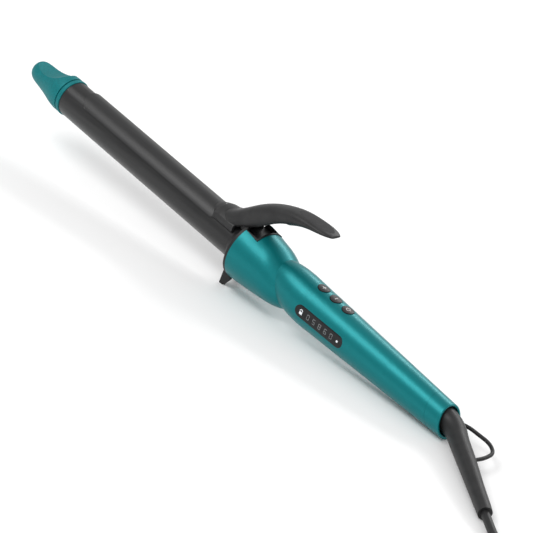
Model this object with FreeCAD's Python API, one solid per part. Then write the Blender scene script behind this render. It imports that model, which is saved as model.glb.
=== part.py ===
import FreeCAD, Part
import functools
import math
import os

os.makedirs("parts", exist_ok=True)
V = FreeCAD.Vector

# ---- sizes, in millimetres ----
# The tool is drawn along X: cord end at +X, cool tip at -X, lever and buttons on top (+Z),
# display on the -Y side. X = 0 is the front edge of the coloured handle.

# barrel and what it holds
barrel_radius = 12.7
barrel_wall = 1.0
barrel_front = -187.3
barrel_root = 22.0
fit_gap = 0.05
heater_length = 100.0
heater_width = 15.0
heater_thickness = 4.0
spreader_wall = 1.0
heater_front = -150.0

# cool tip
tip_length = 41.7
lip_radius = 13.4
lip_length = 3.0
groove_depth = 0.7
tip_shoulder_radius = 13.2
tip_nose_radius = 7.7
scoop_radius = 27.0
scoop_depth_height = 4.9
scoop_centre = 28.2
tip_bore_radius = 6.0

# clamp plate
plate_gap = 0.3
plate_thickness = 0.85
plate_front = -172.0
plate_rear = -14.0
plate_half_angle = 58.0
plate_corner = 10.0

# lever
lever_half_width = 11.2
hinge_x = -5.0
hinge_z = 18.0
pin_radius = 1.2
pin_fit = 0.05
pad_centre_x = 41.0
pad_half_length = 14.8
pad_half_width = 6.1
pad_thickness = 0.7

# collar, hinge ears and feet
collar_radius = 20.9
collar_front = -9.0
collar_spigot = 12.0
tray_half_width = 10.4
tray_floor = 14.4
tray_wall = 1.1
notch_length = 11.5
ear_inner = 5.2
ear_thickness = 2.2
ear_radius = 3.0
foot_drop = 27.6
foot_front = -6.9
foot_rear = -3.7
foot_outer = 9.5
foot_thickness = 2.6

# handle
nose_radius = 21.0
waist_x = 39.6
waist_radius = 13.8
waist_slant = 0.578
grip_radius = 15.5
seam_x = 175.5
rear_x = 187.6
rear_radius = 10.6
rear_slant = 0.357
shell_wall = 2.0
rear_hole_radius = 9.0
seam_gap = 0.12

# controls
button_radius = 4.1
button_first = 65.2
button_pitch = 11.5
button_proud = 0.45
button_travel = 0.6
button_gap = 0.3
window_front = 61.0
window_rear = 103.0
window_half_height = 4.2
window_thickness = 1.3
window_gap = 0.08
board_top = 3.0
board_thickness = 1.6
board_half_width = 7.6
board_front = 56.0
board_rear = 150.0
switch_height = 4.0

# swivel, strain relief and hang loop
swivel_front = 164.0
swivel_flange_radius = 8.2
relief_root_radius = 8.1
relief_neck_radius = 6.4
relief_end_radius = 4.5
relief_end = (262.8, -48.7, 0.4)
relief_bend_x = 191.0
loop_rod_radius = 1.25

# cord, hank and plug
cord_radius = 2.75
hank_length = 150.0
hank_width = 50.0
hank_height = 22.5
hank_front = 352.0
hank_y = -46.0
tie_width = 12.0
tie_wall = 1.6
plug_height = 7.0
plug_offset_x = 29.0
plug_offset_y = -16.5
plug_length = 40.0
blade_length = 17.0


# ---- building blocks ----
def box(x0, x1, y0, y1, z0, z1):
    return Part.makeBox(x1 - x0, y1 - y0, z1 - z0, V(x0, y0, z0))


def cyl_x(radius, x0, x1, y=0.0, z=0.0):
    return Part.makeCylinder(radius, x1 - x0, V(x0, y, z), V(1, 0, 0))


def cyl_y(radius, y0, y1, x, z):
    return Part.makeCylinder(radius, y1 - y0, V(x, y0, z), V(0, 1, 0))


def cyl_z(radius, z0, z1, x, y):
    return Part.makeCylinder(radius, z1 - z0, V(x, y, z0), V(0, 0, 1))


def tube_x(outer, inner, x0, x1):
    return cyl_x(outer, x0, x1).cut(cyl_x(inner, x0 - 1, x1 + 1))


def spin(points):
    """A solid of revolution about X from a closed outline of (x, radius) corners."""
    corners = [V(x, 0, r) for x, r in points]
    face = Part.Face(Part.makePolygon(corners + [corners[0]]))
    return face.revolve(V(0, 0, 0), V(1, 0, 0), 360)


def spin_smooth(curve, ends):
    """As spin, with a smooth curve through the first list and straight lines round the second."""
    spline = Part.BSplineCurve()
    spline.interpolate([V(x, 0, r) for x, r in curve])
    corners = [V(x, 0, r) for x, r in [curve[-1]] + ends + [curve[0]]]
    lines = [Part.LineSegment(a, b).toShape() for a, b in zip(corners, corners[1:])]
    face = Part.Face(Part.Wire([spline.toShape()] + lines))
    return face.revolve(V(0, 0, 0), V(1, 0, 0), 360)


def extrude_xz(points, half_width):
    corners = [V(x, -half_width, z) for x, z in points]
    face = Part.Face(Part.makePolygon(corners + [corners[0]]))
    return face.extrude(V(0, 2 * half_width, 0))


def slot_prism(x0, x1, half, y0, y1, z=0.0):
    """A pill-shaped prism along Y with its long axis on X."""
    body = box(x0 + half, x1 - half, y0, y1, z - half, z + half)
    return body.fuse([cyl_y(half, y0, y1, x0 + half, z), cyl_y(half, y0, y1, x1 - half, z)])


def slab(x0, x1, slant, reach=60.0):
    """The space between two slanted planes that cross the axis at x0 and x1."""
    shift = slant * reach
    corners = [(x0 + shift, -reach), (x1 + shift, -reach), (x1 - shift, reach), (x0 - shift, reach)]
    return extrude_xz(corners, reach)


def ring_wire(x, radius, slant, count=24):
    """A closed curve that is a circle seen along X and leans with the slanted end faces."""
    points = []
    for i in range(count):
        a = 2 * math.pi * (i + 0.5) / count
        y, z = radius * math.cos(a), radius * math.sin(a)
        points.append(V(x - slant * z, y, z))
    curve = Part.BSplineCurve()
    curve.interpolate(points, PeriodicFlag=True)
    return Part.Wire([curve.toShape()])


def rounded_wire(centre, across, up, half_width, half_depth, power=2.6, count=16):
    """A closed rounded-rectangle curve in the plane of two directions."""
    points = []
    for i in range(count):
        a = 2 * math.pi * (i + 0.5) / count
        c, s = math.cos(a), math.sin(a)
        p = half_width * math.copysign(abs(c) ** (2 / power), c)
        q = half_depth * math.copysign(abs(s) ** (2 / power), s)
        points.append(centre + across * p + up * q)
    curve = Part.BSplineCurve()
    curve.interpolate(points, PeriodicFlag=True)
    return Part.Wire([curve.toShape()])


def rounded_path(points, share=0.45, radii=None):
    """Straight runs joined by tangent arcs, each as large as its shorter run allows."""
    edges = []
    start = points[0]
    for before, corner, after in zip(points, points[1:], points[2:]):
        back, ahead = before - corner, after - corner
        room = share * min(back.Length, ahead.Length)
        back.normalize()
        ahead.normalize()
        turn = math.pi - back.getAngle(ahead)
        if radii is not None:
            radii.append(room / math.tan(turn / 2))
        middle = back + ahead
        middle.normalize()
        radius = room / math.tan(turn / 2)
        centre = corner + middle * (radius / math.cos(turn / 2))
        enter, leave = corner + back * room, corner + ahead * room
        if (enter - start).Length > 1e-6:
            edges.append(Part.LineSegment(start, enter).toShape())
        edges.append(Part.Arc(enter, centre - middle * radius, leave).toShape())
        start = leave
    edges.append(Part.LineSegment(start, points[-1]).toShape())
    return Part.Wire(edges)


def sweep(path, radius):
    """A round solid along a path."""
    first = path.Edges[0]
    start = first.valueAt(first.FirstParameter)
    direction = first.tangentAt(first.FirstParameter)
    profile = Part.Wire([Part.Circle(start, direction, radius).toShape()])
    return path.makePipeShell([profile], True, False)


# ---- handle surface ----
def lean_at(x):
    """How far the handle's sections lean: upright at the nose, most at the waist."""
    if x <= waist_x:
        return waist_slant * x / waist_x
    if x <= seam_x:
        return waist_slant + (rear_slant - waist_slant) * (x - waist_x) / (seam_x - waist_x)
    return rear_slant


@functools.lru_cache(maxsize=None)
def handle_form(inset):
    """The handle's outer form, drawn in by an inset."""
    nose_span = nose_radius - waist_radius
    nose = [(0.0, 1.0), (0.15, 0.952), (0.3, 0.868), (0.455, 0.764), (0.606, 0.653)]
    nose += [(0.732, 0.542), (0.833, 0.389), (0.922, 0.201), (1.0, 0.0)]
    nose_rings = [(waist_x * t, waist_radius + nose_span * k) for t, k in nose]
    crown = grip_radius - waist_radius
    grip_rings = [(waist_x, waist_radius), (waist_x + 4.4, waist_radius + 0.5 * crown)]
    grip_rings += [(waist_x + 9.0, waist_radius + 0.84 * crown), (waist_x + 14.0, grip_radius)]
    grip_rings += [(waist_x + 19.0, grip_radius)]
    taper_start = waist_x + 25.0
    for t in (0.0, 0.14, 0.28, 0.42, 0.56, 0.7, 0.84, 1.0):
        x = taper_start + (rear_x - taper_start) * t
        grip_rings.append((x, grip_radius - 0.3 + (rear_radius + 0.3 - grip_radius) * t))
    parts = []
    for rings in (nose_rings, grip_rings):
        wires = [ring_wire(x, r - inset, lean_at(max(x, 0.0))) for x, r in rings]
        parts.append(Part.makeLoft(wires, True, False))
    return parts[0].fuse(parts[1])


def handle_cavity():
    """The hollow in the handle: round all the way, and inside the leaning outer form everywhere."""
    waist_bore = waist_radius - shell_wall
    grip_bore = grip_radius - shell_wall - 0.2
    lean = waist_slant * waist_radius
    outline = [(-1.0, 0.0), (-1.0, nose_radius - shell_wall), (3.0, nose_radius - shell_wall - 0.4)]
    outline += [(0.3 * waist_x, nose_radius - shell_wall - 1.4), (0.5 * waist_x, waist_bore + 4.4)]
    outline += [(waist_x - 1.7 * lean, waist_bore + 2.2), (waist_x - 1.2 * lean, waist_bore)]
    outline += [(waist_x + lean, waist_bore), (waist_x + 2.2 * lean, grip_bore - 0.3)]
    outline += [(waist_x + 2.8 * lean, grip_bore), (rear_x + 8.0, rear_radius - shell_wall - 0.3)]
    outline += [(rear_x + 8.0, 0.0)]
    return spin(outline)


def button_places():
    return [button_first + i * button_pitch for i in range(3)]


# ---- barrel ----
def barrel_tube():
    return tube_x(barrel_radius, barrel_radius - barrel_wall, barrel_front, barrel_root)


def heater_core():
    half_w, half_t = heater_width / 2, heater_thickness / 2
    return box(heater_front, heater_front + heater_length, -half_w, half_w, -half_t, half_t)


def heater_spreaders():
    """Two aluminium half shells that hold the heater and press on the barrel's wall."""
    outer = barrel_radius - barrel_wall - fit_gap
    half_t = heater_thickness / 2 + fit_gap
    x0, x1 = heater_front, heater_front + heater_length
    shell = tube_x(outer, outer - spreader_wall, x0, x1)
    half_plate = half_t + spreader_wall
    plates = cyl_x(outer - 0.5, x0, x1).common(box(x0, x1, -20, 20, -half_plate, half_plate))
    both = shell.fuse(plates).cut(box(x0 - 1, x1 + 1, -20, 20, -half_t, half_t))
    return both


def thermal_fuse():
    z = heater_thickness / 2 + spreader_wall + 2.0 + 3 * fit_gap
    body = cyl_x(2.0, -100, -86, 0, z)
    return body.fuse([cyl_x(0.5, -110, -99.5, 0, z), cyl_x(0.5, -86.5, -76, 0, z)])


def heater_leads():
    start = heater_front + heater_length
    return Part.makeCompound([cyl_x(0.9, start, board_front, y, 0.0) for y in (-4.5, 4.5)])


# ---- cool tip ----
def tip_body_curve():
    base = barrel_front - lip_length - 1.0
    end = barrel_front - tip_length
    span = base - end
    curve = [(base, tip_shoulder_radius), (base - 0.17 * span, 0.985 * tip_shoulder_radius)]
    curve += [(base - 0.42 * span, 10.9), (base - 0.7 * span, 8.9), (base - 0.86 * span, tip_nose_radius)]
    curve += [(end + 1.8, 5.8), (end + 0.4, 2.9), (end, 0.0)]
    return base, end, curve


def cool_tip():
    base, end, curve = tip_body_curve()
    body = spin_smooth(curve, [(base, 0.0)])
    groove_radius = tip_shoulder_radius - groove_depth
    groove = cyl_x(groove_radius, base - 0.5, barrel_front - lip_length + 0.5)
    lip = cyl_x(lip_radius, barrel_front - lip_length, barrel_front)
    lip = lip.makeFillet(0.5, [e for e in lip.Edges if len(e.Vertexes) == 1])
    scoop = cyl_y(scoop_radius, -30, 30, barrel_front - scoop_centre, scoop_depth_height + scoop_radius)
    bore = cyl_x(tip_bore_radius, base - 14.0, barrel_front + 1)
    return body.fuse([groove, lip]).cut(scoop).cut(bore)


def tip_plug():
    """Heat-proof spigot between the barrel's mouth and the cool tip."""
    inside = cyl_x(barrel_radius - barrel_wall - fit_gap, barrel_front, barrel_front + 12.0)
    stub = cyl_x(tip_bore_radius - fit_gap, barrel_front - 15.0, barrel_front + 0.5)
    hole = cyl_x(1.6, barrel_front - 20.0, barrel_front + 20.0)
    pocket = cyl_x(3.4, barrel_front + 6.0, barrel_front + 20.0)
    return inside.fuse(stub).cut(hole).cut(pocket)


def tip_screw():
    shank = cyl_x(1.5, barrel_front - 14.5, barrel_front + 6.5)
    head = cyl_x(3.0, barrel_front + 6.0 + fit_gap, barrel_front + 8.4)
    slot = box(barrel_front + 7.6, barrel_front + 9, -3.5, 3.5, -0.4, 0.4)
    return shank.fuse(head).cut(slot)


# ---- clamp ----
def wedge(half_angle, x0, x1, radius=60.0):
    """The sector above the axis between two planes through the axis."""
    a = math.radians(half_angle)
    y, z = radius * math.sin(a), radius * math.cos(a)
    corners = [V(x0, 0, 0), V(x0, -y, z), V(x0, 0, radius * 1.5), V(x0, y, z)]
    face = Part.Face(Part.makePolygon(corners + [corners[0]]))
    return face.extrude(V(x1 - x0, 0, 0))


def plate_inner():
    return barrel_radius + plate_gap


def plate_outer():
    return plate_inner() + plate_thickness


def clamp_plate():
    shell = tube_x(plate_outer(), plate_inner(), plate_front, plate_rear)
    shell = shell.common(wedge(plate_half_angle, plate_front - 1, plate_rear + 1))
    reach = plate_outer() * math.sin(math.radians(plate_half_angle))
    keep = box(plate_front + plate_corner, plate_rear + 1, -30, 30, 0, 30)
    corner_y = reach - plate_corner
    corner_x = plate_front + plate_corner
    front = box(plate_front, corner_x + 1, -corner_y, corner_y, 0, 30)
    corners = [cyl_z(plate_corner, 0, 30, corner_x, y) for y in (-corner_y, corner_y)]
    tail = extrude_tail()
    shell = shell.common(keep.fuse([front] + corners)).cut(tail)
    for x in screw_places():
        shell = shell.cut(cyl_z(1.1, 5, 20, x, 0))
    return shell


def extrude_tail():
    """Narrows the plate's tail where it runs under the lever's saddle."""
    wide, narrow = 12.5, 8.5
    pieces = []
    for side in (-1, 1):
        corners = [V(-33, side * wide, 0), V(-26, side * narrow, 0), V(-10, side * narrow, 0)]
        corners += [V(-10, side * 25, 0), V(-33, side * 25, 0)]
        pieces.append(Part.Face(Part.makePolygon(corners + [corners[0]])).extrude(V(0, 0, 30)))
    return pieces[0].fuse(pieces[1])


def screw_places():
    return (-30.5, -25.0)


def clamp_screws():
    """Two screws that hold the plate up against the lever's saddle."""
    z = plate_inner() + 0.05
    screws = [cyl_z(1.0, z, z + 3.2, x, 0) for x in screw_places()]
    return Part.makeCompound(screws)


def lever_sections():
    """Top point, bottom point (x, z) and half width of each section, from root to end."""
    w = lever_half_width
    return [
        ((-24.0, 17.4), (-11.5, 9.0), w),
        ((-14.5, 23.8), (-1.0, 16.6), w - 1.0),
        ((-6.0, 31.4), (8.0, 22.4), w - 1.5),
        ((4.0, 38.6), (17.0, 30.4), w - 1.7),
        ((16.0, 44.4), (26.0, 36.7), w - 2.1),
        ((29.0, 48.3), (35.0, 41.4), w - 2.5),
        ((42.0, 49.8), (44.6, 44.7), w - 2.9),
        ((53.0, 50.2), (54.0, 47.0), w - 4.2),
        ((58.2, 49.8), (58.6, 48.2), w - 6.8),
    ]


def lever_horn(inset=0.0, drop=0.0, count=None):
    """The curved horn of the lever; inset and drop draw the channel under it."""
    wires = []
    for (tx, tz), (bx, bz), w in lever_sections()[:count]:
        top, bottom = V(tx, 0, tz), V(bx, 0, bz)
        up = top - bottom
        depth = up.Length
        up.normalize()
        top = top - up * inset
        bottom = bottom - up * drop
        centre = (top + bottom) * 0.5
        wires.append(rounded_wire(centre, V(0, 1, 0), up, w - inset * 0.8, (top - bottom).Length / 2))
    return Part.makeLoft(wires, True, False)


def lever_saddle():
    """The part of the lever that hugs the barrel above the plate."""
    low = plate_inner() + 0.2
    outline = [(-36.0, low), (-36.0, plate_outer() + 0.5), (-33.0, 15.6), (-29.5, 16.8), (-25.0, 17.5)]
    outline += [(-11.0, 17.2), (-11.0, low)]
    body = spin(outline).common(wedge(52.0, -37, -10))
    half = lever_half_width + 0.2
    tongue = box(-30, -10, -half, half, 0, 30).fuse(cyl_z(half, 0, 30, -36 + half, 0))
    return body.common(tongue)


def lever_solid():
    """The lever without its pad, its holes and its screws."""
    horn = lever_horn()
    channel = lever_horn(inset=2.4, drop=5.0, count=5)
    body = lever_saddle().fuse(horn)
    body = body.cut(cyl_x(barrel_radius + plate_gap + 0.2, -60, 20))
    return body, channel


def pad_prism(grow):
    scale = (pad_half_width + grow) / (pad_half_length + grow)
    disc = cyl_z(pad_half_length + grow, 30, 70, 0, 0)
    squeeze = FreeCAD.Matrix()
    squeeze.A22 = scale
    disc = disc.transformGeometry(squeeze)
    disc.translate(V(pad_centre_x, 0, 0))
    return disc


def lever_and_pad():
    body, channel = lever_solid()
    horn = lever_horn()
    lowered = horn.copy()
    lowered.translate(V(0, 0, -pad_thickness))
    skin = horn.cut(lowered)
    pad = skin.common(pad_prism(-fit_gap))
    body = body.cut(skin.common(pad_prism(0.0)))
    roof = cyl_x(plate_outer() + 1.2, -60, -22)
    channel = channel.cut(roof).cut(box(-60, -19.0, -30, 30, 0, 60))
    body = body.cut(channel)
    seat = tube_x(plate_outer() + 0.03, plate_inner() - 0.5, plate_front, plate_rear)
    seat = seat.common(wedge(plate_half_angle + 0.5, plate_front, plate_rear))
    body = body.cut(seat)
    body = body.cut(cyl_y(pin_radius + pin_fit, -9.2, 9.2, hinge_x, hinge_z))
    for x in screw_places():
        body = body.cut(cyl_z(1.0, 5, plate_inner() + 3.3, x, 0))
    return largest(body), largest(pad)


def largest(shape):
    return max(shape.Solids, key=lambda s: s.Volume)


def hinge_pin():
    return cyl_y(pin_radius, -9.0, 9.0, hinge_x, hinge_z)


def clamp_spring():
    """Torsion spring on the pin, with one leg on the collar and one under the lever."""
    coil = cyl_y(pin_radius + 1.3, -4.4, 4.4, hinge_x, hinge_z)
    coil = coil.cut(cyl_y(pin_radius + 0.3, -5, 5, hinge_x, hinge_z))
    mid = pin_radius + 0.8
    low = Part.makeCylinder(0.5, 8.0, V(hinge_x, -3.8, hinge_z - mid), V(1, 0, -0.12))
    high = Part.makeCylinder(0.5, 8.5, V(hinge_x + mid, 3.8, hinge_z), V(0.42, 0, 0.9))
    bore = cyl_y(pin_radius + 0.3, -5, 5, hinge_x, hinge_z)
    return coil.fuse([low, high]).cut(bore)


# ---- collar and feet ----
def foot_prong(side):
    y0 = foot_outer - foot_thickness
    rise = rest_slope()
    low_front = -foot_drop + rise * (foot_front - foot_rear)
    corners = [(foot_front, low_front), (foot_rear, -foot_drop), (1.4, -collar_radius + 2.0)]
    corners += [(-1.0, -13.6), (foot_front + 1.0, -13.6), (foot_front, -15.0)]
    prong = extrude_xz(corners, foot_thickness / 2)
    prong.translate(V(0, side * (y0 + foot_thickness / 2), 0))
    return prong.common(box(-30, -0.05, -30, 30, -40, 0))


def collar():
    bore = barrel_radius + fit_gap
    spigot = nose_radius - shell_wall - 0.45
    outline = [(collar_front, bore), (collar_front, bore + 0.6), (-5.5, 15.4), (-2.7, 19.6)]
    outline += [(-2.0, collar_radius), (-seam_gap, collar_radius), (-seam_gap, spigot)]
    outline += [(collar_spigot * 0.5, spigot - 0.5), (collar_spigot, spigot - 1.1), (collar_spigot, bore)]
    body = spin(outline)
    tray_outer = tray_half_width + tray_wall
    lid = box(-20, notch_length - 0.05, -tray_outer + 0.05, tray_outer - 0.05, tray_floor - 1, 30)
    lid = lid.common(cyl_x(nose_radius - 0.75, -0.5, 40)).common(box(-0.5, 40, -40, 40, 0, 40))
    body = body.fuse([lid, foot_prong(-1), foot_prong(1)])
    cavity = box(-20, notch_length - tray_wall, -tray_half_width, tray_half_width, tray_floor, 40)
    body = body.cut(cavity)
    hollow = tube_x(nose_radius - shell_wall - 2.6, bore + 1.6, 1.0, collar_spigot + 1)
    body = body.cut(hollow.cut(box(-5, 40, -14, 14, 6, 40)).cut(box(-5, 40, -1, 1, -40, 40)))
    for side in (-1, 1):
        y0 = ear_inner if side > 0 else -ear_inner - ear_thickness
        ear = box(hinge_x - ear_radius, hinge_x + ear_radius, y0, y0 + ear_thickness, 13.2, hinge_z)
        tip = cyl_y(ear_radius, y0, y0 + ear_thickness, hinge_x, hinge_z)
        body = body.fuse(ear.fuse(tip))
    body = body.cut(cyl_x(bore, -40, 40))
    return body.cut(cyl_y(pin_radius + pin_fit, -20, 20, hinge_x, hinge_z))


# ---- handle ----
def handle_shells():
    outer, inner = handle_form(0.0), handle_cavity()
    shell = outer.cut(inner).common(slab(-40, seam_x, rear_slant, 80.0))
    shell = shell.common(box(0, 400, -60, 60, -60, 60))
    half = tray_half_width + tray_wall
    shell = shell.cut(box(-1, notch_length, -half, half, 5, 60))
    window = slot_prism(window_front, window_rear, window_half_height, -40, -5)
    shell = shell.cut(window)
    for x in button_places():
        shell = shell.cut(cyl_z(button_radius + button_gap, 5, 40, x, 0))
    upper = shell.common(box(-10, 400, -60, 60, 0, 60))
    lower = shell.common(box(-10, 400, -60, 60, -60, 0))
    for x in shell_screw_places():
        boss = cyl_z(3.2, 0, 30, x, 0).cut(cyl_z(1.2, -1, 7, x, 0))
        upper = upper.fuse(boss.common(outer))
        post = cyl_z(3.2, -30, 0, x, 0).common(outer)
        lower = lower.fuse(post).cut(cyl_z(1.55, -30, 1, x, 0)).cut(cyl_z(2.6, -30, -5, x, 0))
    return largest(upper), largest(lower)


def shell_screw_places():
    return (48.0, 157.0)


def shell_screws():
    screws = []
    for x in shell_screw_places():
        shank = cyl_z(1.1, -5.5, 6.0, x, 0)
        head = cyl_z(2.4, -7.0, -5.05, x, 0)
        screws.append(shank.fuse(head))
    return Part.makeCompound(screws)


def rear_ring():
    body = handle_form(0.0).common(slab(seam_x + seam_gap, rear_x, rear_slant, 80.0))
    body = body.cut(cyl_x(rear_hole_radius, 100, 260))
    rim = [e for e in body.Edges if len(e.Vertexes) == 1 and e.BoundBox.XMax > rear_x + 2]
    return body.makeFillet(0.7, rim)


def display_window():
    grow = window_gap
    back = -(grip_radius - shell_wall - window_thickness)
    prism = slot_prism(window_front + grow, window_rear - grow, window_half_height - grow, -40, back)
    return largest(handle_form(0.0).common(prism))


def display_board():
    y = -(grip_radius - shell_wall - 3.3)
    return box(window_front + 1, window_rear - 1, y, y + 1.0, -3.6, 2.6)


def display_leds():
    """A symbol light, five characters and a round light, as low blocks on their board."""
    y = -(grip_radius - shell_wall - 3.3) - 0.8
    centre = (window_front + window_rear) / 2
    starts = [centre - 15.2 + i * 6.4 for i in range(5)]
    lights = [box(x, x + 3.2, y, y + 0.75, -2.0, 2.0) for x in starts]
    lights.append(box(window_front + 2.4, window_front + 5.4, y, y + 0.75, -1.8, 1.8))
    lights.append(cyl_y(0.9, y, y + 0.75, window_rear - 4.6, 0.0))
    return Part.makeCompound(lights)


def control_board():
    z0 = board_top - board_thickness
    y0 = -board_half_width
    return box(board_front, board_rear, y0, board_half_width, z0, board_top)


def board_parts():
    """Switch bodies under the buttons, a driver chip, a capacitor and a relay."""
    parts = [box(x - 3, x + 3, -3, 3, board_top, board_top + switch_height) for x in button_places()]
    parts.append(box(104, 114, -5, 5, board_top, board_top + 1.6))
    parts.append(box(120, 134, -5.2, 5.2, board_top, board_top + 5.5))
    parts.append(cyl_z(3.2, board_top, board_top + 6.0, 143, 0))
    return Part.makeCompound(parts)


def switch_plungers():
    z = board_top + switch_height
    return Part.makeCompound([cyl_z(1.6, z, z + 1.0, x, 0) for x in button_places()])


def button(x):
    """A round button: a cap flush with the handle's curve on a stem over its switch."""
    cap = handle_form(-button_proud).common(cyl_z(button_radius, grip_radius - shell_wall - 1.0, 40, x, 0))
    stem_foot = board_top + switch_height + 1.0 + button_travel + 0.15
    stem = cyl_z(2.4, stem_foot, grip_radius - shell_wall + 0.6, x, 0)
    return largest(cap.fuse(stem))


# ---- swivel, relief and loop ----
def swivel_housing():
    """Fixed sleeve in the handle's rear that carries the swivel."""
    outer = rear_radius - shell_wall + 0.1
    body = tube_x(outer, 5.2, swivel_front, swivel_front + 7.0)
    return body


def swivel_contacts():
    """Two ring contacts on the housing's front face."""
    rings = [tube_x(r + 0.9, r, swivel_front - 1.2, swivel_front - fit_gap) for r in (5.4, 6.9)]
    return Part.makeCompound(rings)


def swivel_spigot():
    """Turning spindle, held in the housing by a flange at each end."""
    body = cyl_x(5.1, swivel_front - 0.6, swivel_front + 7.6)
    flange = cyl_x(swivel_flange_radius, swivel_front + 7.3, swivel_front + 10.0)
    head = cyl_x(4.6, swivel_front - 3.0, swivel_front)
    return body.fuse([flange, head]).cut(cyl_x(2.9, swivel_front - 5, swivel_front + 20))


def relief_direction():
    start = V(relief_bend_x, 0, 0)
    way = V(*relief_end) - start
    way.normalize()
    return start, way


def strain_relief():
    """Tapered boot: round root in the handle's rear, an elbow, then a straight taper."""
    start, way = relief_direction()
    axis = V(1, 0, 0)
    root = swivel_front + 10.0
    length = (V(*relief_end) - start).Length
    stations = [(V(root, 0, 0), axis, relief_root_radius)]
    stations.append((V(relief_bend_x - 8.5, 0, 0), axis, relief_root_radius))
    half = axis + way
    half.normalize()
    near = axis * 2.0 + way
    near.normalize()
    stations.append((V(relief_bend_x - 3.0, -0.3, 0), near, relief_root_radius - 0.6))
    stations.append((start + way * 4.5, (half + way).normalize(), relief_neck_radius + 0.5))
    for t, k in ((0.16, 0.98), (0.38, 0.78), (0.6, 0.5), (0.8, 0.25), (1.0, 0.0)):
        radius = relief_end_radius + (relief_neck_radius - relief_end_radius) * k
        stations.append((start + way * (length * t), way, radius))
    wires = [Part.Wire([Part.Circle(p, d, r).toShape()]) for p, d, r in stations]
    return Part.makeLoft(wires, True, False)


def hang_loop():
    """Three-sided wire loop on the side of the strain relief."""
    start, way = relief_direction()
    points = [V(188.5, 3.5, 0.6), V(196.0, 8.4, 0.8), V(213.5, 9.6, 0.9), V(222.0, 4.0, 1.0)]
    foot = start + way * 37.0
    points += [V(223.6, -6.0, 0.9), V(foot.x, foot.y, foot.z + 0.3)]
    rod = sweep(rounded_path(points), loop_rod_radius)
    return largest(rod.cut(strain_relief()))


# ---- resting pose ----
def rest_slope():
    """Slope of the surface that the feet and the handle's rear edge stand on."""
    rear_low_x = rear_x + rear_slant * rear_radius
    return (foot_drop - rear_radius) / (rear_low_x - foot_rear)


def rest_placement(shapes):
    """Turns the tool onto its feet and rear edge and centres it over the origin."""
    turn = FreeCAD.Rotation(V(0, 1, 0), math.degrees(math.atan(rest_slope())))
    pitch = FreeCAD.Placement(V(0, 0, 0), turn)
    bounds = FreeCAD.BoundBox()
    for shape in shapes:
        turned = shape.copy()
        turned.Placement = pitch.multiply(turned.Placement)
        bounds.add(turned.optimalBoundingBox(False, False))
    shift = V(-(bounds.XMin + bounds.XMax) / 2, -(bounds.YMin + bounds.YMax) / 2, -bounds.ZMin)
    return FreeCAD.Placement(shift, FreeCAD.Rotation()).multiply(pitch)


# ---- cord, laid on the surface at z = 0 ----
def cord_route(rest):
    start, way = relief_direction()
    leave = rest.multVec(V(*relief_end))
    heading = rest.Rotation.multVec(way)
    points = [leave, leave + heading * 14.0]
    x, y = points[1].x, points[1].y
    points.append(V(x + 14.0, y - 8.2, cord_radius))
    points.append(V(x + 31.0, y - 11.5, cord_radius + 0.4))
    points.append(V(x + 47.0, y - 12.5, cord_radius + 0.8))
    points.append(V(hank_front + 8.0, y - 6.5, cord_radius + 1.0))
    return points


def power_cord(rest):
    radii = []
    points = cord_route(rest)
    path = rounded_path(points, radii=radii)
    tube = sweep(path, cord_radius)
    print("cord radii", [round(r, 1) for r in radii], "length", round(path.Length, 1))
    print("cord route", [tuple(round(c, 2) for c in p) for p in points])
    print("volume ratio", round(tube.Volume / (math.pi * cord_radius ** 2 * path.Length), 4))
    return largest(tube.cut(cord_hank()))


def cord_hank():
    half = hank_width / 2
    x0, x1 = hank_front + half, hank_front + hank_length - half
    body = box(x0, x1, hank_y - half, hank_y + half, 0, hank_height)
    ends = [cyl_z(half, 0, hank_height, x, hank_y) for x in (x0, x1)]
    body = body.fuse(ends).removeSplitter()
    belt = box(tie_place() - tie_width / 2 - 0.3, tie_place() + tie_width / 2 + 0.3, -200, 200, -1, 60)
    low, high = half - tie_wall, hank_height - tie_wall
    core = box(-500, 500, hank_y - low, hank_y + low, tie_wall, high)
    return largest(body.cut(belt.cut(core)))


def tie_place():
    return hank_front + hank_length / 2


def cord_tie():
    x0, x1 = tie_place() - tie_width / 2, tie_place() + tie_width / 2
    half = hank_width / 2
    band = box(x0, x1, hank_y - half, hank_y + half, 0, hank_height)
    inner = fit_gap
    low, high = tie_wall - inner, hank_height - tie_wall + inner
    hole = box(x0 - 1, x1 + 1, hank_y - half + low, hank_y + half - low, low, high)
    return band.cut(hole)


def plug_start():
    return V(hank_front + hank_length + plug_offset_x, hank_y + plug_offset_y, plug_height)


def cord_tail():
    """The cord's last stretch: off the hank's top outer turn and down to the plug."""
    side = hank_y - hank_width / 2 + cord_radius + 0.05
    top = hank_height - cord_radius - 0.25
    end = plug_start()
    x = hank_front + hank_length
    points = [V(x - 34.0, side, top), V(x - 16.0, side - 0.7, top - 1.7)]
    points += [V(x + 1.0, side + 0.8, top - 6.9), V(x + 16.0, side + 3.3, top - 11.1), end]
    radii = []
    path = rounded_path(points, radii=radii)
    tube = sweep(path, cord_radius)
    print("tail radii", [round(r, 1) for r in radii], "length", round(path.Length, 1))
    print("tail route", [tuple(round(c, 2) for c in p) for p in points])
    print("volume ratio", round(tube.Volume / (math.pi * cord_radius ** 2 * path.Length), 4))
    return largest(tube.cut(cord_hank()).cut(plug_body()))


def plug_body():
    """Moulded plug lying on its flat side at the end of the cord."""
    start = plug_start()
    wires = []
    shapes = [(0.0, 3.6, 3.6), (0.3, 4.4, 4.2), (0.5, 8.0, 6.2), (0.75, 11.5, 6.8), (1.0, 12.0, 6.8)]
    for t, w, h in shapes:
        centre = start + V(plug_length * t, 0, 0)
        wires.append(rounded_wire(centre, V(0, 1, 0), V(0, 0, 1), w, h))
    return Part.makeLoft(wires, True, False)


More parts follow.
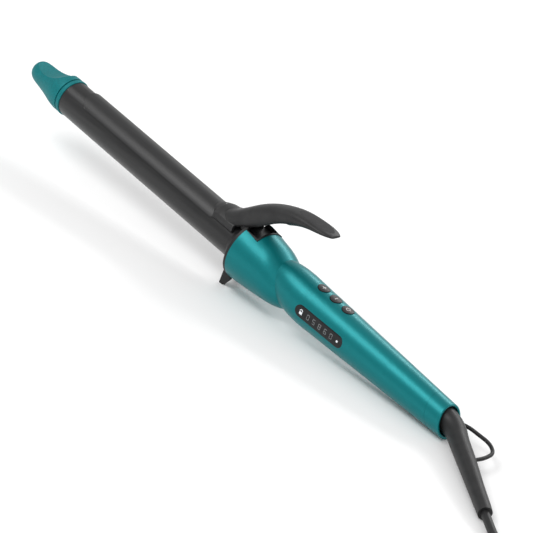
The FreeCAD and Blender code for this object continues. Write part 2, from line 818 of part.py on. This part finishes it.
def plug_blades():
    start = plug_start()
    x0, x1 = start.x + plug_length, start.x + plug_length + blade_length
    low, high = start.z - 3.2, start.z + 3.2
    places = [start.y - 6.35, start.y + 6.35]
    return Part.makeCompound([box(x0, x1, y - 0.75, y + 0.75, low, high) for y in places])


# ---- assembly ----
def tool_parts():
    upper, lower = handle_shells()
    lever, pad = lever_and_pad()
    parts = {
        "barrel_tube": barrel_tube(),
        "heater_core": heater_core(),
        "heater_spreaders": heater_spreaders(),
        "thermal_fuse": thermal_fuse(),
        "heater_leads": heater_leads(),
        "cool_tip": cool_tip(),
        "tip_plug": tip_plug(),
        "tip_screw": tip_screw(),
        "clamp_plate": clamp_plate(),
        "clamp_screws": clamp_screws(),
        "lever": lever,
        "thumb_pad": pad,
        "hinge_pin": hinge_pin(),
        "clamp_spring": clamp_spring(),
        "collar": collar(),
        "handle_upper_shell": upper,
        "handle_lower_shell": lower,
        "shell_screws": shell_screws(),
        "rear_ring": rear_ring(),
        "display_window": display_window(),
        "display_board": display_board(),
        "display_leds": display_leds(),
        "control_board": control_board(),
        "board_parts": board_parts(),
        "switch_plungers": switch_plungers(),
        "swivel_housing": swivel_housing(),
        "swivel_contacts": swivel_contacts(),
    }
    for name, x in zip(("button_plus", "button_minus", "button_power"), button_places()):
        parts[name] = button(x)
    return parts


def main():
    parts = tool_parts()
    rest = rest_placement(list(parts.values()))
    parts["swivel_spigot"] = swivel_spigot()
    parts["strain_relief"] = strain_relief()
    parts["hang_loop"] = hang_loop()
    for shape in parts.values():
        shape.Placement = rest.multiply(shape.Placement)
    parts["power_cord"] = power_cord(rest)
    parts["cord_hank"] = cord_hank()
    parts["cord_tie"] = cord_tie()
    parts["cord_tail"] = cord_tail()
    parts["plug_body"] = plug_body()
    parts["plug_blades"] = plug_blades()
    print("rest pitch", math.degrees(math.atan(rest_slope())), "shift", rest.Base)
    for name, shape in parts.items():
        shape.exportStep("parts/" + name + ".step")
        if not shape.isValid():
            print("not valid:", name)


main()
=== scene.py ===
import math

import bmesh
import bpy
from mathutils import Matrix, Vector
from mathutils.bvhtree import BVHTree


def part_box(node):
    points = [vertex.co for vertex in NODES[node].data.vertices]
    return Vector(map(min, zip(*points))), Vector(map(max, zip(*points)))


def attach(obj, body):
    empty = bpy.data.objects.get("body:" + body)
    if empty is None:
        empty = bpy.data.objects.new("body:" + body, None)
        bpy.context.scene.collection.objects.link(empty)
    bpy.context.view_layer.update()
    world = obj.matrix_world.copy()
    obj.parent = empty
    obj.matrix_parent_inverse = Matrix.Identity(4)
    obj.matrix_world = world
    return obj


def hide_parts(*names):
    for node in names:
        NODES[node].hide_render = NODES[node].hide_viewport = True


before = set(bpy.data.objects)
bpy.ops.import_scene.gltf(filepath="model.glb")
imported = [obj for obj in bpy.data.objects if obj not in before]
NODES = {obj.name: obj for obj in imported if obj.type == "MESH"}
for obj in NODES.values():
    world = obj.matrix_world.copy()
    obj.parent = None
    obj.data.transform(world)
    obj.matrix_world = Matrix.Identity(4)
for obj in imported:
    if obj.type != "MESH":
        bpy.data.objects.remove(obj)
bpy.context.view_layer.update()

# ---- the tool's own axes: X to the cord end, Z to the lever, x = 0 at the front of the handle ----
PITCH = math.radians(4.980279953479156)
SHIFT = Vector((0.01932020557, 0.00000174604, 0.02717459235))
TOOL = Matrix.Translation(SHIFT) @ Matrix.Rotation(PITCH, 4, "Y")
ALONG, ACROSS, UPWARD = Vector((1, 0, 0)), Vector((0, 1, 0)), Vector((0, 0, 1))
DOWN, INWARD = Vector((0, 0, -1)), Vector((0, 1, 0))


def mm(x, y, z):
    """A point given in the tool's axes in millimetres, in the frame's axes in metres."""
    return TOOL @ Vector((x / 1000, y / 1000, z / 1000))


# ---- camera, in the tool's axes: angles in degrees, aim in millimetres, distance in metres ----
CAMERA_AZIMUTH, CAMERA_ELEVATION, CAMERA_ROLL = 36.4674, 27.8852, 21.6308
CAMERA_AIM = (17.0607, 0, -0.9667)
CAMERA_DISTANCE = 1.6
CAMERA_LENS, CAMERA_SENSOR = 169.2, 36.0
CAMERA_CLIP = (0.05, 20)


def make_camera():
    angles = (CAMERA_AZIMUTH, CAMERA_ELEVATION, CAMERA_ROLL)
    az, el, roll = (math.radians(a) for a in angles)
    back = Vector((math.sin(az) * math.cos(el), -math.cos(az) * math.cos(el), math.sin(el)))
    right = Vector((math.cos(az), math.sin(az), 0))
    up = back.cross(right)
    across = right * math.cos(roll) + up * math.sin(roll)
    upward = up * math.cos(roll) - right * math.sin(roll)
    turn = TOOL.to_3x3()
    eye = mm(*CAMERA_AIM) + (turn @ back) * CAMERA_DISTANCE
    axes = Matrix([turn @ across, turn @ upward, turn @ back]).transposed().to_4x4()
    data = bpy.data.cameras.new("camera")
    data.lens, data.sensor_width = CAMERA_LENS, CAMERA_SENSOR
    data.clip_start, data.clip_end = CAMERA_CLIP
    camera = bpy.data.objects.new("camera", data)
    camera.matrix_world = Matrix.Translation(eye) @ axes
    bpy.context.scene.collection.objects.link(camera)
    bpy.context.scene.camera = camera


make_camera()

# ---- cord: from the strain relief into the tied hank, and out of it to the plug ----
CORD_R = 0.00275
ROUTE = [
    (0.28116, -0.0487, 0.00476),
    (0.29271, -0.05656, 0.00382),
    (0.30671, -0.06476, 0.00275),
    (0.32371, -0.06806, 0.00315),
    (0.33971, -0.06906, 0.00355),
    (0.36, -0.0684, 0.0031),
]
TAIL = [
    (0.468, -0.069, 0.025),
    (0.486, -0.071, 0.0218),
    (0.503, -0.0692, 0.0148),
    (0.518, -0.0655, 0.009),
    (0.531, -0.0625, 0.007),
]
CORD_ORDER = 3  # a quadratic spline
CORD_STEPS = 8  # steps from one point to the next
CORD_BEVEL = 5  # gives 14 points round the section

# Each turn's column in the hank, 0 outside and 1 inside it. The last one is a single run.
HANK_COLUMNS = (0, 1, 1, 0, 0, 1, 1, 0, 0)
HANK_LEVELS = 4
HANK_CLEARANCE = 0.0001  # between the outside turns and the side of the hank's solid
TIE_SPAN = (0.44, 0.56)  # where the tie holds a run, as shares of the run's length
TIE_SQUEEZE = 0.84  # what the tie leaves of the runs' height
TIE_INSET = 0.0015  # how far the tie pulls in the outside runs
RUN_PLACES = (0.12, *TIE_SPAN, 0.88)
RUN_SWAY = 0.0006
SWAY_STEP, SWAY_START = 2.4, 0.7  # radians, so that no two turns sway alike
FOLD_ANGLES = (-72, -36, 0, 36, 72)
FOLD_SWELL = 1.05  # how much wider a fold's points lie than its runs


def on_circle(angle):
    return math.cos(math.radians(angle)), math.sin(math.radians(angle))


def hank_turns():
    """Eight flat turns, two side by side on each of four levels, pinched where the tie holds them.

    They wind in, up and out again, and the last run lies on top of them and over the tie."""
    low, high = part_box("cord_hank")
    mid_y = (low.y + high.y) / 2
    mid_z = (low.z + high.z) / 2
    half_width = high.y - mid_y
    front, rear = low.x + half_width, high.x - half_width
    radii = [half_width - CORD_R - HANK_CLEARANCE, half_width - 3 * CORD_R - HANK_CLEARANCE]
    level = (high.z - low.z - 2 * CORD_R) / (HANK_LEVELS - 1)
    last = len(HANK_COLUMNS) - 1
    points = []

    def height(turn):
        z = low.z + CORD_R + level * (turn // 2)
        return z - (level - 2 * CORD_R) if turn == last else z

    def run(turn, side, radius, z, places):
        wave = RUN_SWAY * math.sin(SWAY_STEP * turn + SWAY_START)
        for t in places:
            held = turn != last and TIE_SPAN[0] <= t <= TIE_SPAN[1]
            r = radius - (TIE_INSET if held and radius == radii[0] else 0.0)
            level_z = mid_z + (z - mid_z) * TIE_SQUEEZE if held else z
            sway = wave * math.sin(2 * math.pi * t)
            points.append((front + (rear - front) * t, mid_y + side * r + sway, level_z))

    for turn in range(last):
        radius, z = radii[HANK_COLUMNS[turn]], height(turn)
        next_radius, next_z = radii[HANK_COLUMNS[turn + 1]], height(turn + 1)
        run(turn, -1, radius, z, RUN_PLACES)
        for angle in FOLD_ANGLES:
            c, s = on_circle(angle)
            points.append((rear + radius * FOLD_SWELL * c, mid_y + radius * FOLD_SWELL * s, z))
        run(turn, 1, radius, z, RUN_PLACES[::-1])
        for i, angle in enumerate(FOLD_ANGLES[::-1]):
            blend = (i + 0.5) / len(FOLD_ANGLES)
            r = (radius + (next_radius - radius) * blend) * FOLD_SWELL
            c, s = on_circle(angle)
            points.append((front - r * c, mid_y + r * s, z + (next_z - z) * blend))
    run(last, -1, radii[HANK_COLUMNS[last]], height(last), RUN_PLACES[:3])
    return points


def make_cord():
    """A round tube along one smooth spline, and the points that it follows."""
    points = ROUTE + hank_turns() + TAIL
    data = bpy.data.curves.new("mains_cord_line", "CURVE")
    data.dimensions = "3D"
    spline = data.splines.new("NURBS")
    spline.points.add(len(points) - 1)
    for p, co in zip(spline.points, points):
        p.co = (*co, 1.0)
    spline.order_u = CORD_ORDER
    spline.use_endpoint_u = True
    spline.resolution_u = CORD_STEPS
    line = bpy.data.objects.new("mains_cord_line", data)
    path = [list(v.co) for v in bpy.data.meshes.new_from_object(line).vertices]
    data.bevel_depth = CORD_R
    data.bevel_resolution = CORD_BEVEL
    data.use_fill_caps = True
    mesh = bpy.data.meshes.new_from_object(line)
    mesh.shade_smooth()
    bpy.data.objects.remove(line)
    obj = bpy.data.objects.new("mains_cord", mesh)
    bpy.context.scene.collection.objects.link(obj)
    return obj, path


cord, cord_path = make_cord()
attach(cord, "cord_end")
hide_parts("power_cord", "cord_hank", "cord_tail")

# ---- materials ----
SURFACE_IOR = 1.5
NOISE_ROUGHNESS = 0.5
NOISE_SPREAD = (0.35, 0.65)  # the part of a noise's range that most of its values are in


class Shade:
    """A node material under construction, with short calls for the nodes used here."""

    def __init__(self, name, rough, metallic=0.0, coat=0.0, coat_rough=0.1, specular=0.5):
        self.mat = bpy.data.materials.new(name)
        self.mat.use_nodes = True
        self.tree = self.mat.node_tree
        self.bsdf = self.tree.nodes["Principled BSDF"]
        self.bsdf.inputs["Roughness"].default_value = rough
        self.bsdf.inputs["Metallic"].default_value = metallic
        self.bsdf.inputs["Coat Weight"].default_value = coat
        self.bsdf.inputs["Coat Roughness"].default_value = coat_rough
        self.bsdf.inputs["IOR"].default_value = SURFACE_IOR
        self.bsdf.inputs["Specular IOR Level"].default_value = specular
        self.coord = self.tree.nodes.new("ShaderNodeTexCoord").outputs["Object"]

    def node(self, kind, **values):
        n = self.tree.nodes.new(kind)
        for k, v in values.items():
            n.inputs[k].default_value = v
        return n

    def link(self, a, b):
        self.tree.links.new(a, b)

    def noise(self, scale, detail, stretch=None):
        n = self.node("ShaderNodeTexNoise", Scale=scale, Detail=detail, Roughness=NOISE_ROUGHNESS)
        source = self.coord
        if stretch is not None:
            m = self.node("ShaderNodeMapping", Scale=stretch)
            self.link(self.coord, m.inputs["Vector"])
            source = m.outputs["Vector"]
        self.link(source, n.inputs["Vector"])
        return n.outputs["Fac"]

    def colour(self, fac, low, high):
        n = self.node("ShaderNodeValToRGB")
        for stop, place, rgb in zip(n.color_ramp.elements, NOISE_SPREAD, (low, high)):
            stop.position = place
            stop.color = (*rgb, 1.0)
        self.link(fac, n.inputs["Fac"])
        self.link(n.outputs["Color"], self.bsdf.inputs["Base Color"])

    def roughness(self, fac, low, high):
        m = self.node("ShaderNodeMapRange")
        m.inputs["To Min"].default_value = low
        m.inputs["To Max"].default_value = high
        self.link(fac, m.inputs["Value"])
        self.link(m.outputs["Result"], self.bsdf.inputs["Roughness"])

    def bump(self, fac, distance, strength):
        b = self.node("ShaderNodeBump", Strength=strength, Distance=distance)
        self.link(fac, b.inputs["Height"])
        self.link(b.outputs["Normal"], self.bsdf.inputs["Normal"])


def teal_lacquer():
    """Satin pearl lacquer: teal with fine flake and a soft clear coat."""
    s = Shade("teal_lacquer", 0.36, metallic=0.55, coat=0.1, coat_rough=0.22, specular=0.3)
    flake = s.noise(5200, 1.0)
    s.colour(flake, (0.0, 0.15, 0.163), (0.0, 0.21, 0.226))
    s.roughness(s.noise(120, 3.0), 0.34, 0.42)
    s.bump(s.noise(2600, 2.0), 0.000012, 0.35)
    return s.mat


def teal_matte():
    """The heat-proof cool tip: a slightly darker teal, without the clear coat."""
    s = Shade("teal_matte", 0.55, metallic=0.25, specular=0.3)
    s.colour(s.noise(900, 3.0), (0.0, 0.145, 0.158), (0.0, 0.185, 0.2))
    s.roughness(s.noise(300, 3.0), 0.48, 0.6)
    s.bump(s.noise(2200, 3.0), 0.00002, 0.5)
    return s.mat


def heat_coating(name, low, high, rough):
    """Satin charcoal coating with a faint lengthwise grain."""
    s = Shade(name, rough, coat=0.05, coat_rough=0.25, specular=0.42)
    grain = s.noise(420, 4.0, stretch=(0.05, 1.0, 1.0))
    s.colour(grain, low, high)
    s.roughness(grain, rough - 0.05, rough + 0.07)
    s.bump(s.noise(3000, 2.0), 0.00001, 0.4)
    return s.mat


def moulded(name, low, high, rough, grain=1800, depth=0.00003):
    """Fine spark-eroded texture of moulded plastic or rubber."""
    s = Shade(name, rough, specular=0.36)
    s.colour(s.noise(160, 4.0), low, high)
    s.roughness(s.noise(500, 3.0), rough - 0.06, rough + 0.06)
    s.bump(s.noise(grain, 3.0), depth, 0.6)
    return s.mat


def pad_rubber():
    """Thumb pad: soft rubber with a fine cell texture."""
    s = Shade("pad_rubber", 0.72)
    cells = s.node("ShaderNodeTexVoronoi", Scale=900)
    s.link(s.coord, cells.inputs["Vector"])
    s.colour(s.noise(200, 3.0), (0.012, 0.012, 0.013), (0.018, 0.018, 0.019))
    s.bump(cells.outputs["Distance"], 0.00008, 0.7)
    return s.mat


def bare_metal(name, low, high, rough, stretch):
    """Uncoated metal, with its grain drawn out where the stretch is small."""
    s = Shade(name, rough, metallic=1.0)
    s.colour(s.noise(900, 5.0, stretch=stretch), low, high)
    s.roughness(s.noise(700, 4.0, stretch=stretch), rough - 0.08, rough + 0.1)
    s.bump(s.noise(1500, 4.0, stretch=stretch), 0.00001, 0.5)
    return s.mat


def smoked_gloss():
    """The display's near-black window."""
    s = Shade("smoked_gloss", 0.16, specular=0.3)
    s.colour(s.noise(90, 3.0), (0.006, 0.006, 0.007), (0.011, 0.011, 0.012))
    s.roughness(s.noise(260, 3.0), 0.12, 0.22)
    return s.mat


def glowing(name, colour, strength):
    """A lit lamp or a lit mark, or a printed mark given a faint painted glow."""
    s = Shade(name, 0.4)
    s.colour(s.noise(700, 2.0), tuple(0.92 * c for c in colour), colour)
    s.bsdf.inputs["Emission Color"].default_value = (*colour, 1.0)
    s.bsdf.inputs["Emission Strength"].default_value = strength
    return s.mat


TEAL = teal_lacquer()
TIP = teal_matte()
BARREL = heat_coating("barrel_coating", (0.009, 0.009, 0.0095), (0.015, 0.015, 0.0155), 0.34)
PLATE = heat_coating("plate_coating", (0.011, 0.011, 0.0115), (0.017, 0.017, 0.0175), 0.38)
LEVER = moulded("lever_plastic", (0.013, 0.013, 0.0135), (0.02, 0.02, 0.0205), 0.46)
BLACK = moulded("black_plastic", (0.006, 0.006, 0.0065), (0.01, 0.01, 0.0105), 0.5)
KEY = moulded("key_plastic", (0.009, 0.007, 0.008), (0.014, 0.011, 0.012), 0.42)
RUBBER = moulded(
    "cord_rubber", (0.009, 0.009, 0.0095), (0.014, 0.014, 0.0145), 0.46, grain=1200, depth=0.00002
)
PAD = pad_rubber()
STEEL = bare_metal("zinc_steel", (0.5, 0.5, 0.51), (0.64, 0.64, 0.65), 0.3, (1, 1, 1))
ALU = bare_metal("drawn_aluminium", (0.7, 0.71, 0.72), (0.8, 0.81, 0.82), 0.34, (0.04, 1, 1))
BRASS = bare_metal("bare_brass", (0.66, 0.5, 0.22), (0.78, 0.61, 0.3), 0.26, (0.1, 1, 1))
BLUED = bare_metal("blued_steel", (0.02, 0.02, 0.022), (0.035, 0.035, 0.038), 0.5, (1, 1, 1))
CERAMIC = moulded("heater_ceramic", (0.78, 0.76, 0.7), (0.87, 0.85, 0.8), 0.7)
BOARD = moulded("solder_mask", (0.008, 0.09, 0.045), (0.015, 0.14, 0.07), 0.35, grain=600)
CHIP = moulded("chip_resin", (0.03, 0.03, 0.033), (0.05, 0.05, 0.054), 0.55)
BRAID = moulded(
    "glass_braid", (0.5, 0.46, 0.38), (0.62, 0.57, 0.48), 0.8, grain=2600, depth=0.00008
)
SMOKED = smoked_gloss()
LIT = glowing("lit_symbol", (0.72, 0.75, 0.78), 0.25)
DIM = glowing("dim_symbol", (0.17, 0.18, 0.185), 0.1)
# printed key marks: their own print colour plus a faint emission that is painted glow, not a lamp
PRINT_WITH_PAINTED_GLOW = glowing("printed_symbol_painted_glow", (0.5, 0.5, 0.5), 0.05)

LOOKS = {
    "barrel_tube": BARREL, "heater_core": CERAMIC, "heater_spreaders": ALU, "thermal_fuse": ALU,
    "heater_leads": BRAID, "cool_tip": TIP, "tip_plug": BLACK, "tip_screw": STEEL,
    "hinge_pin": BLUED, "clamp_spring": BLUED, "collar": BLACK, "handle_upper_shell": TEAL,
    "handle_lower_shell": TEAL, "shell_screws": STEEL, "rear_ring": TEAL,
    "display_window": SMOKED, "display_board": BOARD, "display_leds": LIT,
    "control_board": BOARD, "board_parts": CHIP, "switch_plungers": BLACK,
    "swivel_housing": BLACK, "swivel_contacts": BRASS, "clamp_plate": PLATE,
    "clamp_screws": STEEL, "lever": LEVER, "thumb_pad": PAD, "button_plus": KEY,
    "button_minus": KEY, "button_power": KEY, "swivel_spigot": BLACK,
    "strain_relief": RUBBER, "hang_loop": BLACK, "cord_tie": BLACK,
    "plug_body": RUBBER, "plug_blades": BRASS,
}
SHARP_ANGLE = math.radians(32)  # edges that turn more than this stay sharp

for node, look in LOOKS.items():
    mesh = NODES[node].data
    mesh.materials.clear()
    mesh.materials.append(look)
    mesh.shade_smooth()
    mesh.set_sharp_from_angle(angle=SHARP_ANGLE)
cord.data.materials.clear()
cord.data.materials.append(RUBBER)

# ---- small raised symbols, laid on the surface below them ----
MARK_HEIGHT = 0.00006  # above the surface
MARK_DEPTH = 0.00002  # below the surface, so that no gap shows
MARK_STEP = 0.5  # millimetres from one row of points to the next
RAY_START = 0.05  # how far back from a point its ray starts


def lay_on(node, points, direction, lift):
    """Each point dropped along a direction onto a node's surface and lifted off it a little."""
    mesh = NODES[node].data
    corners = [v.co for v in mesh.vertices]
    tree = BVHTree.FromPolygons(corners, [tuple(p.vertices) for p in mesh.polygons])
    way = (TOOL.to_3x3() @ direction).normalized()
    out = []
    for p in points:
        hit = tree.ray_cast(p - way * RAY_START, way)[0]
        out.append((hit if hit is not None else p) - way * lift)
    return out


def stroke_points(strokes, origin, u, v):
    """Rows of two points across each stroke, in millimetres, each with its place in the stroke."""
    out = []
    for (u0, v0), (u1, v1), half in strokes:
        along = Vector((u1 - u0, v1 - v0))
        steps = max(1, int(along.length / MARK_STEP))
        along.normalize()
        side = Vector((-along.y, along.x)) * half
        for i in range(steps + 1):
            t = i / steps
            c = Vector((u0 + (u1 - u0) * t, v0 + (v1 - v0) * t))
            for k in (-1, 1):
                q = c + side * k
                out.append((origin + u * q.x + v * q.y, i))
    return out


def symbol(name, node, body, look, origin, u, v, strokes, direction):
    """A raised symbol of closed strokes, drawn in millimetres along u and v from an origin.

    A stroke is its two ends and half its width."""
    rows = stroke_points(strokes, origin, u, v)
    points = [mm(*p) for p, _ in rows]
    top = lay_on(node, points, direction, MARK_HEIGHT)
    under = lay_on(node, points, direction, -MARK_DEPTH)
    bm = bmesh.new()
    last = None
    for n in range(0, len(rows), 2):
        ring = [bm.verts.new(p) for p in (top[n], top[n + 1], under[n + 1], under[n])]
        if rows[n][1] == 0:
            if last is not None:
                bm.faces.new(last)
            bm.faces.new(ring[::-1])
        else:
            for a in range(4):
                b = (a + 1) % 4
                bm.faces.new((last[a], last[b], ring[b], ring[a]))
        last = ring
    bm.faces.new(last)
    bmesh.ops.recalc_face_normals(bm, faces=bm.faces)
    mesh = bpy.data.meshes.new(name)
    bm.to_mesh(mesh)
    bm.free()
    obj = bpy.data.objects.new(name, mesh)
    bpy.context.scene.collection.objects.link(obj)
    mesh.materials.append(look)
    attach(obj, body)


def arc(radius, start, end, half, count=14):
    """Short strokes along an arc, from one angle to another."""
    out = []
    angles = [math.radians(start + (end - start) * i / count) for i in range(count + 1)]
    for a, b in zip(angles, angles[1:]):
        p = (radius * math.cos(a), radius * math.sin(a))
        q = (radius * math.cos(b), radius * math.sin(b))
        out.append((p, q, half))
    return out


FIRST_KEY_X, KEY_PITCH, KEY_MARK_Z = 65.2, 11.5, 12


def key_symbols():
    """Plus, minus and power marks on the three keys: print colour with a faint painted glow."""
    marks = {
        "button_plus": [((-1.5, 0), (1.5, 0), 0.26), ((0, -1.5), (0, 1.5), 0.26)],
        "button_minus": [((0, -1.5), (0, 1.5), 0.26)],
        "button_power": arc(1.45, 40, 320, 0.22) + [((0.3, 0), (1.9, 0), 0.22)],
    }
    for i, (node, strokes) in enumerate(marks.items()):
        at = Vector((FIRST_KEY_X + KEY_PITCH * i, 0, KEY_MARK_Z))
        symbol(node + "_mark", node, node, PRINT_WITH_PAINTED_GLOW, at, ALONG, ACROSS, strokes, DOWN)


DISPLAY_X = 82.0
LOCK_X, LOCK_Y = -15.9, 0.5  # the lock's shackle, from the display's middle
FIRST_DIGIT_X, DIGIT_PITCH = -9.6, 5.2
DIGIT_HALF_WIDTH, DIGIT_HALF_HEIGHT = 0.95, 1.6
DIGIT_BREAK = 0.2  # between one segment and the next
DIGIT_STROKE = 0.19


def digit(x, segments):
    """The strokes of a seven-segment character, with its middle at x."""
    w, h, gap = DIGIT_HALF_WIDTH, DIGIT_HALF_HEIGHT, DIGIT_BREAK
    ends = {
        "a": ((x - w, h), (x + w, h)),
        "b": ((x + w, gap), (x + w, h - gap)),
        "c": ((x + w, -h + gap), (x + w, -gap)),
        "d": ((x - w, -h), (x + w, -h)),
        "e": ((x - w, -h + gap), (x - w, -gap)),
        "f": ((x - w, gap), (x - w, h - gap)),
        "g": ((x - w, 0), (x + w, 0)),
    }
    return [(*ends[s], DIGIT_STROKE) for s in segments]


def display_symbols():
    """A lock, five dim characters and a dot on the smoked window."""
    shackle = arc(1.1, 0, 180, 0.24, 8)
    lock = [
        ((a[0] + LOCK_X, a[1] + LOCK_Y), (b[0] + LOCK_X, b[1] + LOCK_Y), half)
        for a, b, half in shackle
    ]
    lock += [((-17.1, -0.8), (-14.7, -0.8), 0.95)]
    digits = []
    for i, segments in enumerate(("abcdef", "acdfg", "abcdefg", "acdefg", "abcdef")):
        digits += digit(FIRST_DIGIT_X + DIGIT_PITCH * i, segments)
    dot = [((16.0, 0), (17.4, 0), 0.7)]
    at = Vector((DISPLAY_X, 0, 0))
    for name, look, strokes in (
        ("display_lock_mark", LIT, lock),
        ("display_digits", DIM, digits),
        ("display_dot", LIT, dot),
    ):
        symbol(name, "display_window", "handle", look, at, ALONG, UPWARD, strokes, INWARD)


key_symbols()
display_symbols()

# ---- floor and light ----
FLOOR_HALF_SIZE = 4.0
LIGHT_AIM = Vector((0, 0, 0.03))
LIGHTS = (  # name, place and size in metres, power in watts
    ("key", (-0.5, -0.9, 1.5), (1.3, 0.8), 15.0),
    ("fill", (1.2, -1.2, 0.8), (0.9, 0.9), 4.0),
    ("rim", (0.0, 1.3, 0.9), (1.6, 0.35), 11.0),
)
WORLD_STRENGTH = 0.62


def make_floor():
    bm = bmesh.new()
    bmesh.ops.create_grid(bm, x_segments=2, y_segments=2, size=FLOOR_HALF_SIZE)
    mesh = bpy.data.meshes.new("floor")
    bm.to_mesh(mesh)
    bm.free()
    floor = bpy.data.objects.new("floor", mesh)
    bpy.context.scene.collection.objects.link(floor)
    s = Shade("floor_paper", 0.9, specular=0.1)
    s.colour(s.noise(6, 2.0), (0.93, 0.93, 0.93), (0.95, 0.95, 0.95))
    mesh.materials.append(s.mat)


def make_lights():
    for name, at, size, power in LIGHTS:
        data = bpy.data.lights.new(name, "AREA")
        data.shape, data.size, data.size_y, data.energy = "RECTANGLE", *size, power
        light = bpy.data.objects.new(name, data)
        light.location = at
        light.rotation_euler = (LIGHT_AIM - Vector(at)).to_track_quat("-Z", "Y").to_euler()
        bpy.context.scene.collection.objects.link(light)
    world = bpy.data.worlds.new("studio")
    bpy.context.scene.world = world
    world.use_nodes = True
    background = world.node_tree.nodes["Background"]
    background.inputs["Color"].default_value = (1, 1, 1, 1)
    background.inputs["Strength"].default_value = WORLD_STRENGTH
    bpy.context.scene.view_settings.view_transform = "Standard"


make_floor()
make_lights()
